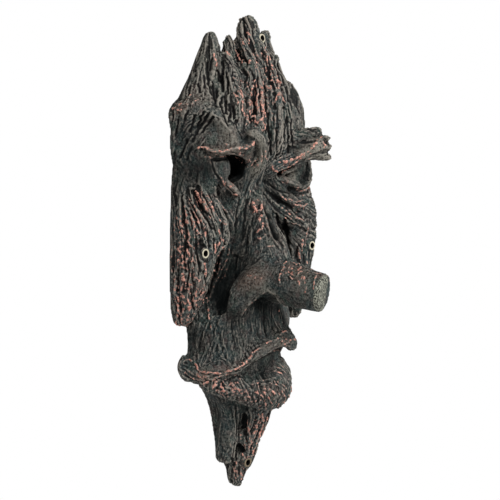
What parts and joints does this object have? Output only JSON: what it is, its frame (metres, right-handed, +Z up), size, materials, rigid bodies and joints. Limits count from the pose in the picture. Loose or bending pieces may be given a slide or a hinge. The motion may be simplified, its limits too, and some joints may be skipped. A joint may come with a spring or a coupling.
{
  "type": "tree face wall plaque",
  "caption": "Wall plaque cast as a bark tree-spirit face, with a jagged board forehead, flaring brows, a sawn branch stub nose, frowning lips and a pointed beard, with screw holes for hanging",
  "frame": {"origin": "middle of the flat back, at mid-height, on the wall plane", "axes": "+Z up the face, -Y out of the wall the way the face looks, +X towards the face's own left"},
  "size_m": [0.1668, 0.1046, 0.42],
  "materials": {
    "bark": "dark green-grey paint, copper dry-brushed on the ridges"
  },
  "bodies": {
    "root": {"tree_face": "bark"}
  },
  "joints": []
}
